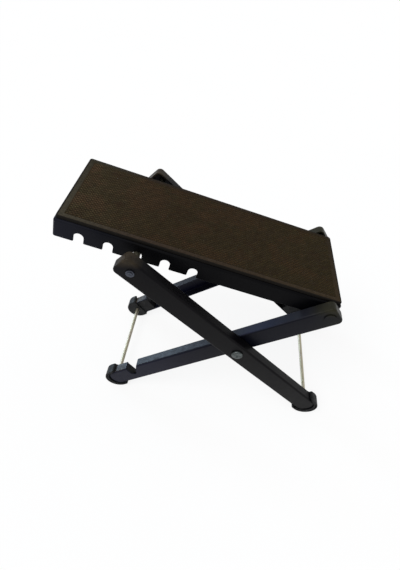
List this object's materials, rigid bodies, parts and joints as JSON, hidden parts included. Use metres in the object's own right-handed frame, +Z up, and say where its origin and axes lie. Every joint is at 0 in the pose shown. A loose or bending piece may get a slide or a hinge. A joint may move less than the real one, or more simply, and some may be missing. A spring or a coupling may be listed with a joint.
{
  "type": "guitar footrest",
  "caption": "Folding steel footrest: a sloping rubber-topped platform on scissor legs, held at a chosen height by a rod in notches in its side walls.",
  "frame": {"origin": "on the floor under the middle of the whole, with the four rubber feet standing at Z = 0", "axes": "+X along the platform towards its low, hinged end; +Y across the object to the far side; +Z up"},
  "size_m": [0.2678, 0.1536, 0.2492],
  "materials": {
    "black_paint": "semi-gloss black stove enamel on pressed steel",
    "mat_rubber": "matte brown-black rubber with a fine pressed pattern",
    "foot_rubber": "satin black moulded rubber",
    "yellow_zinc": "yellow passivated zinc on drawn steel rod",
    "rivet_steel": "bright zinc-plated steel"
  },
  "bodies": {
    "inner_frame": {"inner_leg_near": "black_paint", "inner_leg_far": "black_paint", "inner_foot_near": "foot_rubber", "inner_foot_far": "foot_rubber", "inner_foot_rod": "yellow_zinc", "hinge_rivet_near": "black_paint", "hinge_rivet_far": "black_paint", "hinge_sleeve_near": "rivet_steel", "hinge_sleeve_far": "rivet_steel", "hinge_washer_near": "rivet_steel", "hinge_washer_far": "rivet_steel"},
    "outer_frame": {"outer_leg_near": "black_paint", "outer_leg_far": "black_paint", "outer_foot_near": "foot_rubber", "outer_foot_far": "foot_rubber", "outer_foot_rod": "yellow_zinc", "height_rod": "yellow_zinc", "rod_washer_near": "rivet_steel", "rod_washer_far": "rivet_steel", "pivot_rivet_near": "rivet_steel", "pivot_rivet_far": "rivet_steel", "pivot_sleeve_near": "rivet_steel", "pivot_sleeve_far": "rivet_steel", "pivot_washer_near": "rivet_steel", "pivot_washer_far": "rivet_steel"},
    "platform": {"platform_tray": "black_paint", "platform_mat": "mat_rubber"}
  },
  "joints": [
    {"name": "platform_hinge", "type": "hinge", "parent": "inner_frame", "child": "platform", "pos_m": [0.11868, 0, 0.15924], "axis": [0, 1, 0], "range_deg": [0, 125]},
    {"name": "leg_pivot", "type": "hinge", "parent": "inner_frame", "child": "outer_frame", "pos_m": [0.03581, 0, 0.10656], "axis": [0, -1, 0], "range_deg": [0, 69]}
  ],
  "couplings": [
    {"joint": "leg_pivot", "follows": "platform_hinge", "ratio": 0.55}
  ]
}
